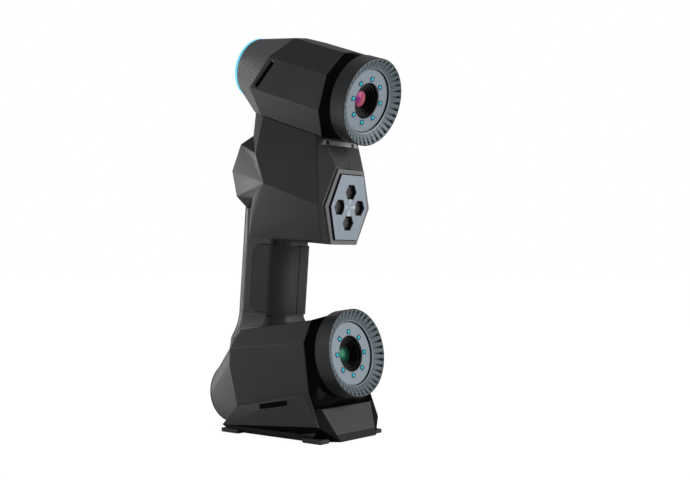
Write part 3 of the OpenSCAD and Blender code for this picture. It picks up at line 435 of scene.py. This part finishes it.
# Some faces of these pieces get a second material, picked by the way they face: near-black painted shade on
# the dock's low faces and slanted corner strips, and on the laser plate's walls and chamfers
facing = {"low": -0.1, "aside": 0.2, "ahead": -0.3, "wall": 0.8, "front": 0.99}
panelFront = inPanel.to_3x3() @ Vector((0, -1, 0))


def facesLow(face):
    return face.normal.z < facing["low"]


def facesAslant(face):
    return abs(face.normal.x) > facing["aside"] and face.normal.y < facing["ahead"]


def isPlateWall(face):
    # The walls and the wide chamfers, but not what faces straight ahead or back; these get painted shade
    return abs(face.normal.dot(panelFront)) < facing["wall"]


def isFrameWall(face):
    # The frame's inner walls, which get painted shade
    inwards = inPanel.translation - face.calc_center_median()
    return isPlateWall(face) and face.normal.dot(inwards) > 0


faceRules = {
    "dockSideLeft": ("dockShade", facesLow),
    "dockSideRight": ("dockShade", facesLow),
    "dockFront": ("dockShade", facesAslant),
    "dockFloor": ("dockShade", facesAslant),
    "laserFace": ("laserWallShade", isPlateWall),
    "laserBezel": ("laserWallShade", isFrameWall),
}


# Wide chamfers round the holes of the laser plate, all within reach of its middle
holeRims = {"piece": "laserFace", "reach": 18, "spared": 19, "width": 0.8, "angle": 1}


def nearPanelMiddle(edge, reach):
    return all((vert.co - inPanel.translation).length < reach * mm for vert in edge.verts)


def isHoleRim(edge):
    return (nearPanelMiddle(edge, holeRims["reach"]) and edge.is_convex
            and edge.calc_face_angle(0) > holeRims["angle"]
            and any(face.normal.dot(panelFront) > facing["front"] for face in edge.link_faces))


def endsAtBore(edge):
    # A crease that runs into a round rim stays sharp, so the rim keeps its outline
    return any(sum(other.calc_length() < shellTrim["rimEdge"] * mm for other in vert.link_edges) >= 2
               for vert in edge.verts)


def isCrease(edge, name, angle):
    return (len(edge.link_faces) == 2 and edge.is_convex
            and edge.calc_length() > shellTrim["shortest"] * mm
            and edge.calc_face_angle(0) > math.radians(angle) and not endsAtBore(edge)
            and not (name == holeRims["piece"] and nearPanelMiddle(edge, holeRims["spared"])))


def softenEdges(bm, edges, width, segments):
    bmesh.ops.bevel(bm, geom=edges, offset=width * mm, offset_type="OFFSET", segments=segments, profile=0.5,
                    affect="EDGES", clamp_overlap=False, material=-1)


def softenedCopy(name, node, softness, kind):
    bm = bmesh.new()
    bm.from_mesh(frame["nodes"][node].data)
    bmesh.ops.remove_doubles(bm, verts=bm.verts, dist=weld)
    bmesh.ops.dissolve_limit(bm, angle_limit=math.radians(shellTrim["flat"]), verts=bm.verts,
                             edges=bm.edges)
    if name == holeRims["piece"]:
        softenEdges(bm, [edge for edge in bm.edges if isHoleRim(edge)], holeRims["width"], 1)
    angle = surfaceKinds[kind]["crease"]
    softenEdges(bm, [edge for edge in bm.edges if isCrease(edge, name, angle)], softness, 2)
    bm.normal_update()
    finishNames = [finishOf[node]]
    if name in faceRules:
        second, picks = faceRules[name]
        finishNames.append(second)
        for face in bm.faces:
            face.material_index = int(picks(face))
    addPiece(name, bm, finishNames, [node], smoothAngle=surfaceKinds[kind]["smooth"], weighted=True)


for name, (node, softness, kind) in dressed.items():
    softenedCopy(name, node, softness, kind)
print("shells softened:", len(dressed))


# Lens rings: a dark band and, inside it, a funnel of pleats that are deepest at the rim

ring = {"radius": 33, "length": 13.4, "lip": 32.1, "throat": 24.2, "throatDepth": 5.3, "pleats": 40,
        "grooveDepth": 2.2, "grooveHalf": 0.34, "grooveLeast": 0.02, "smoothRim": 0.95,
        "smoothThroat": 0.09, "shadeFrom": 0.55, "skin": 0.35, "acrossPleat": 8, "alongPleat": 20,
        "seat": 21.3, "wallEnd": 8.7, "mouth": 0.35, "noseIn": 0.35, "noseOut": 0.3, "noseDrop": 0.05,
        "edgeDrop": 0.5, "clearance": 0.1, "throatBack": 2.4, "lipBack": 3.4}


def ringBand(side):
    throat = ring["throat"] + ring["clearance"]
    profile = [(ring["lip"], ring["mouth"]), (ring["lip"] + ring["noseIn"], 0),
               (ring["radius"] - ring["noseOut"], ring["noseDrop"]), (ring["radius"], ring["edgeDrop"]),
               (ring["radius"], ring["length"]), (ring["seat"], ring["length"]),
               (ring["seat"], ring["wallEnd"]), (throat, ring["wallEnd"]),
               (throat, ring["throatDepth"] + ring["throatBack"]), (ring["lip"], ring["lipBack"])]
    bm = spun(profile, spinSteps["band"])
    closeUp(bm, onAxis[side])
    addPiece(side + "RingBand", bm, ["ringBand"], [side + "_lens_ring"])


def funnelBack(along):
    # How far back the smooth funnel lies, where along is 0 at its throat and 1 at its lip
    return ring["throatDepth"] * (1 - along) + ring["mouth"] * along


def grooveAt(share, along):
    # Depth of the groove at a share of the pleat's width and of its length
    half = ring["grooveHalf"] * along + ring["grooveLeast"]
    ramp = max(0.0, 1 - abs(share - 0.5) / half)
    return ring["grooveDepth"] * along * ramp if along < ring["smoothRim"] else 0.0


def funnelFinish(face):
    # 0 for a pleat, 1 for a groove's floor in painted shade, 2 for the smooth edges at throat and lip,
    # painted lighter as a highlight
    middle = face.calc_center_median()
    along = (math.hypot(middle.x, middle.y) / mm - ring["throat"]) / (ring["lip"] - ring["throat"])
    if middle.z / mm - funnelBack(along) > ring["shadeFrom"]:
        return 1
    return 2 if along < ring["smoothThroat"] or along > ring["smoothRim"] else 0


def pleatedFunnel(side):
    bm = bmesh.new()
    around = ring["pleats"] * ring["acrossPleat"]
    bmesh.ops.create_grid(bm, x_segments=around, y_segments=ring["alongPleat"], size=0.5)
    for vert in bm.verts:
        turn, along = vert.co.x + 0.5, vert.co.y + 0.5
        radius = ring["throat"] + along * (ring["lip"] - ring["throat"])
        back = funnelBack(along) + grooveAt(turn * ring["pleats"] % 1, along)
        angle = 2 * math.pi * turn
        vert.co = (radius * mm * math.cos(angle), radius * mm * math.sin(angle), back * mm)
    for face in bm.faces:
        face.material_index = funnelFinish(face)
    bmesh.ops.remove_doubles(bm, verts=bm.verts, dist=weld)
    bmesh.ops.recalc_face_normals(bm, faces=bm.faces)
    bmesh.ops.solidify(bm, geom=bm.faces[:], thickness=ring["skin"] * mm)
    closeUp(bm, onAxis[side])
    addPiece(side + "PleatedFunnel", bm, ["pleat", "pleatShade", "ringRim"], [], body="scanner",
             smoothAngle=18)


# Lamps: a dark rounded square round each clear cyan window

lamps = {"count": 8, "circle": 16.3, "size": 3.7, "thick": 0.5, "corner": 1.1, "border": 0.55, "sink": 0.3,
         "wall": 0.12, "front": 6.25, "proud": 0.3, "domeRadius": 1.15, "domeHeight": 0.5}


def lampSet(side):
    bm, front = insetBlock((lamps["size"], lamps["size"], lamps["thick"]), 2, lamps["corner"],
                           lamps["border"], lamps["wall"], -lamps["sink"])
    front.material_index = 1
    floorZ = front.calc_center_median().z
    dome = bmesh.ops.create_uvsphere(bm, u_segments=20, v_segments=10,
                                     radius=lamps["domeRadius"] * mm)["verts"]
    bmesh.ops.scale(bm, vec=(1, 1, lamps["domeHeight"]), verts=dome)
    bmesh.ops.translate(bm, vec=(0, 0, floorZ), verts=dome)
    for face in {face for vert in dome for face in vert.link_faces}:
        face.material_index = 1
    back = lamps["front"] + lamps["thick"] / 2 - lamps["proud"]
    bmesh.ops.translate(bm, vec=(0, lamps["circle"] * mm, back * mm), verts=bm.verts)
    repeatAround(bm, lamps["count"])
    closeUp(bm, onAxis[side])
    addPiece(side + "Lamps", bm, ["lampSurround", "lamp"], [side + "_light_windows"])


# Front lenses: crowned discs with a coloured coating and a painted reflection

lens = {"radius": 5.75, "crown": 1.2, "front": 13.1, "thick": 3, "steps": 12}


def frontLens(side):
    ball = (lens["radius"] ** 2 + lens["crown"] ** 2) / (2 * lens["crown"])
    radii = [lens["radius"] * step / lens["steps"] for step in range(lens["steps"] + 1)]
    crown = [(radius, lens["front"] + ball - lens["crown"] - math.sqrt(ball ** 2 - radius ** 2))
             for radius in radii]
    back = lens["front"] + lens["thick"]
    bm = spun(crown + [(lens["radius"], back), (0, back)], spinSteps["lens"])
    closeUp(bm, onAxis[side])
    addPiece(side + "CoatedLens", bm, ["lensUpper" if side == "upper" else "lensLower"],
             [side + "_front_lens"])


for side in ("upper", "lower"):
    ringBand(side)
    pleatedFunnel(side)
    lampSet(side)
    frontLens(side)
print("lens units built")


# Laser eyes: a small round lens on each hexagonal pane

eyes = {"count": 4, "circle": 11.6, "radius": 2.9, "front": 0.95, "rim": 0.35, "back": 1.4,
        "middleDrop": 0.25, "shoulderDrop": 0.3, "edgeDrop": 0.4, "shoulderShare": 0.6}


def laserEyes():
    outside = eyes["radius"] + eyes["rim"]
    bm = spun([(0, eyes["front"] + eyes["middleDrop"]),
               (eyes["radius"] * eyes["shoulderShare"], eyes["front"] + eyes["shoulderDrop"]),
               (eyes["radius"], eyes["front"] + eyes["edgeDrop"]), (eyes["radius"], eyes["front"]),
               (outside, eyes["front"]), (outside, eyes["back"]), (0, eyes["back"])], spinSteps["small"])
    bmesh.ops.translate(bm, vec=(eyes["circle"] * mm, 0, 0), verts=bm.verts)
    repeatAround(bm, eyes["count"])
    closeUp(bm, inPanel @ turnX(-90))
    addPiece("laserEyes", bm, ["laserEye"], [], body="scanner")


# Near-black fillers with a raised bar in the slots of the dock's sides; their dark is painted shade that
# fills the slots

slotFill = {"across": -4.84, "height": 25.3, "slope": 10.3, "long": 27.6, "high": 3.3, "corner": 1.2,
         "inner": 35.4, "outer": 36.7, "border": 0.6, "rise": 0.5, "step": 0.15}


def slotShadeFill(name, sign):
    size = (slotFill["outer"] - slotFill["inner"], slotFill["long"], slotFill["high"])
    bm = insetBlock(size, 0, slotFill["corner"], slotFill["border"], slotFill["step"], slotFill["rise"])[0]
    middle = -(slotFill["inner"] + slotFill["outer"]) / 2
    place = moved(0, slotFill["across"], slotFill["height"]) @ turnX(-slotFill["slope"]) @ moved(middle, 0, 0)
    closeUp(bm, Matrix.Scale(sign, 4, (1, 0, 0)) @ place)
    addPiece(name, bm, ["dockShade"], [], body="dock")


# Four flutes on the laser plate, from its middle to each pane, painted paler than the plate as a highlight

flute = {"count": 4, "from": 0.4, "to": 6.4, "half": 2.1, "tip": 0.05, "rise": 0.45, "face": -1.7}


def plateFlutes():
    bm = bmesh.new()
    for step in range(flute["count"]):
        verts = bmesh.ops.create_cone(bm, cap_ends=True, segments=4, radius1=flute["half"] * mm,
                                      radius2=flute["tip"] * mm,
                                      depth=(flute["to"] - flute["from"]) * mm)["verts"]
        bmesh.ops.scale(bm, vec=(1, flute["rise"] / flute["half"], 1), verts=verts)
        place = (Matrix.Rotation(2 * math.pi * step / flute["count"], 4, "Y")
                 @ moved(0, flute["face"], -(flute["from"] + flute["to"]) / 2))
        bmesh.ops.transform(bm, matrix=inPanel @ place, verts=verts)
    bmesh.ops.recalc_face_normals(bm, faces=bm.faces)
    addPiece("plateFlutes", bm, ["fluteHighlight"], [], body="scanner", smoothAngle=10)


# Keys: a raised arrow on each small key and a raised ring on the scan key

marks = {"proud": 1.4, "height": 0.25, "arrow": 0.85, "taper": 0.8, "ringRadius": 1.5, "ringWidth": 0.45,
         "sideX": 10, "endZ": 5.9}
arrows = {"up": (0, marks["endZ"], 90), "down": (0, -marks["endZ"], -90),
          "left": (-marks["sideX"], 0, 180), "right": (marks["sideX"], 0, 0)}


def keyMarks():
    for way, (x, z, turn) in arrows.items():
        bm = bmesh.new()
        bmesh.ops.create_cone(bm, cap_ends=True, segments=3, radius1=marks["arrow"] * mm,
                              radius2=marks["arrow"] * marks["taper"] * mm, depth=2 * marks["height"] * mm)
        closeUp(bm, onHump @ moved(x, marks["proud"], z) @ turnX(-90)
                @ Matrix.Rotation(-math.radians(turn), 4, "Z"))
        addPiece(way + "Arrow", bm, ["keyMark"], [], body=way + "_key")
    outer, inner = marks["ringRadius"], marks["ringRadius"] - marks["ringWidth"]
    bm = spun([(outer, -marks["height"]), (outer, marks["height"]), (inner, marks["height"]),
               (inner, -marks["height"])], spinSteps["small"])
    closeUp(bm, onHump @ moved(0, marks["proud"], 0) @ turnX(-90))
    addPiece("scanRing", bm, ["keyMark"], [], body="scan_key")


laserEyes()
plateFlutes()
slotShadeFill("slotShadeFillLeft", 1)
slotShadeFill("slotShadeFillRight", -1)
keyMarks()
print("laser eyes and key marks built")


# Studio: a white floor, a soft key from the front and a low rim from behind on the left

studio = {"fill": (0.95, 0.97, 1, 1), "fillLevel": 0.3, "white": (1, 1, 1, 1), "floorTone": 0.8,
          "floorGlow": 0.97, "shadowTone": 0.12, "floorSize": 6}
softboxes = {
    "keyLight": {"place": (0.5, -1.28, 0.42), "target": (0, 0, 0.17), "size": (1.2, 1.0), "power": 17},
    "rearRim": {"place": (-0.34, 1.2, 0.03), "target": (0, 0, 0.15), "size": (0.4, 0.9), "power": 11},
}
photoView = {"lens": 57.49, "sensor": 36, "near": 0.01, "far": 20, "place": (-0.64797, -0.56255, 0.13668),
             "ahead": (0.7805, 0.6251, 0.0145)}


def addSoftbox(name, box):
    lamp = bpy.data.lights.new(name, "AREA")
    lamp.shape = "RECTANGLE"
    lamp.size, lamp.size_y = box["size"]
    lamp.energy = box["power"]
    holder = bpy.data.objects.new(name, lamp)
    bpy.context.scene.collection.objects.link(holder)
    holder.location = box["place"]
    ahead = Vector(box["target"]) - Vector(box["place"])
    holder.rotation_euler = ahead.to_track_quat("-Z", "Y").to_euler()


def mixForCamera(tree, lit, seen, output):
    # What lights the object is one shader, and what the camera sees is another
    path = addNode(tree, "LightPath")
    mix = addNode(tree, "MixShader", [(0, path.outputs["Is Camera Ray"]), (1, lit.outputs[0]),
                                      (2, seen.outputs[0])])
    tree.links.new(mix.outputs[0], addNode(tree, output).inputs["Surface"])


def makeWorld():
    world = bpy.data.worlds.new("studioWorld")
    bpy.context.scene.world = world
    world.use_nodes = True
    tree = world.node_tree
    tree.nodes.clear()
    fill = addNode(tree, "Background", [("Color", studio["fill"]), ("Strength", studio["fillLevel"])])
    white = addNode(tree, "Background", [("Color", studio["white"]), ("Strength", 1.0)])
    mixForCamera(tree, fill, white, "OutputWorld")


def paperMaterial():
    # Seen as white paper that keeps the object's shadow
    paper = bpy.data.materials.new("paperFloor")
    paper.use_nodes = True
    tree = paper.node_tree
    tree.nodes.clear()
    tone, faint = studio["floorTone"], studio["shadowTone"]
    lit = addNode(tree, "BsdfDiffuse", [("Color", (tone, tone, tone, 1))])
    glow = addNode(tree, "Emission", [("Color", studio["white"]), ("Strength", studio["floorGlow"])])
    shaded = addNode(tree, "BsdfDiffuse", [("Color", (faint, faint, faint, 1))])
    seen = addNode(tree, "AddShader", [(0, glow.outputs[0]), (1, shaded.outputs[0])])
    mixForCamera(tree, lit, seen, "OutputMaterial")
    return paper


def makeFloor():
    bm = bmesh.new()
    bmesh.ops.create_grid(bm, x_segments=4, y_segments=4, size=studio["floorSize"])
    mesh = bpy.data.meshes.new("studioFloor")
    bm.to_mesh(mesh)
    bm.free()
    mesh.materials.append(paperMaterial())
    floor = bpy.data.objects.new("studioFloor", mesh)
    bpy.context.scene.collection.objects.link(floor)


def makeCamera():
    camera = bpy.data.cameras.new("photoCamera")
    camera.lens, camera.sensor_width = photoView["lens"], photoView["sensor"]
    camera.clip_start, camera.clip_end = photoView["near"], photoView["far"]
    holder = bpy.data.objects.new("photoCamera", camera)
    bpy.context.scene.collection.objects.link(holder)
    holder.location = photoView["place"]
    holder.rotation_euler = Vector(photoView["ahead"]).to_track_quat("-Z", "Y").to_euler()
    bpy.context.scene.camera = holder


bpy.context.scene.view_settings.view_transform = "Standard"
makeWorld()
makeFloor()
for name, box in softboxes.items():
    addSoftbox(name, box)
makeCamera()
print("studio and camera placed")
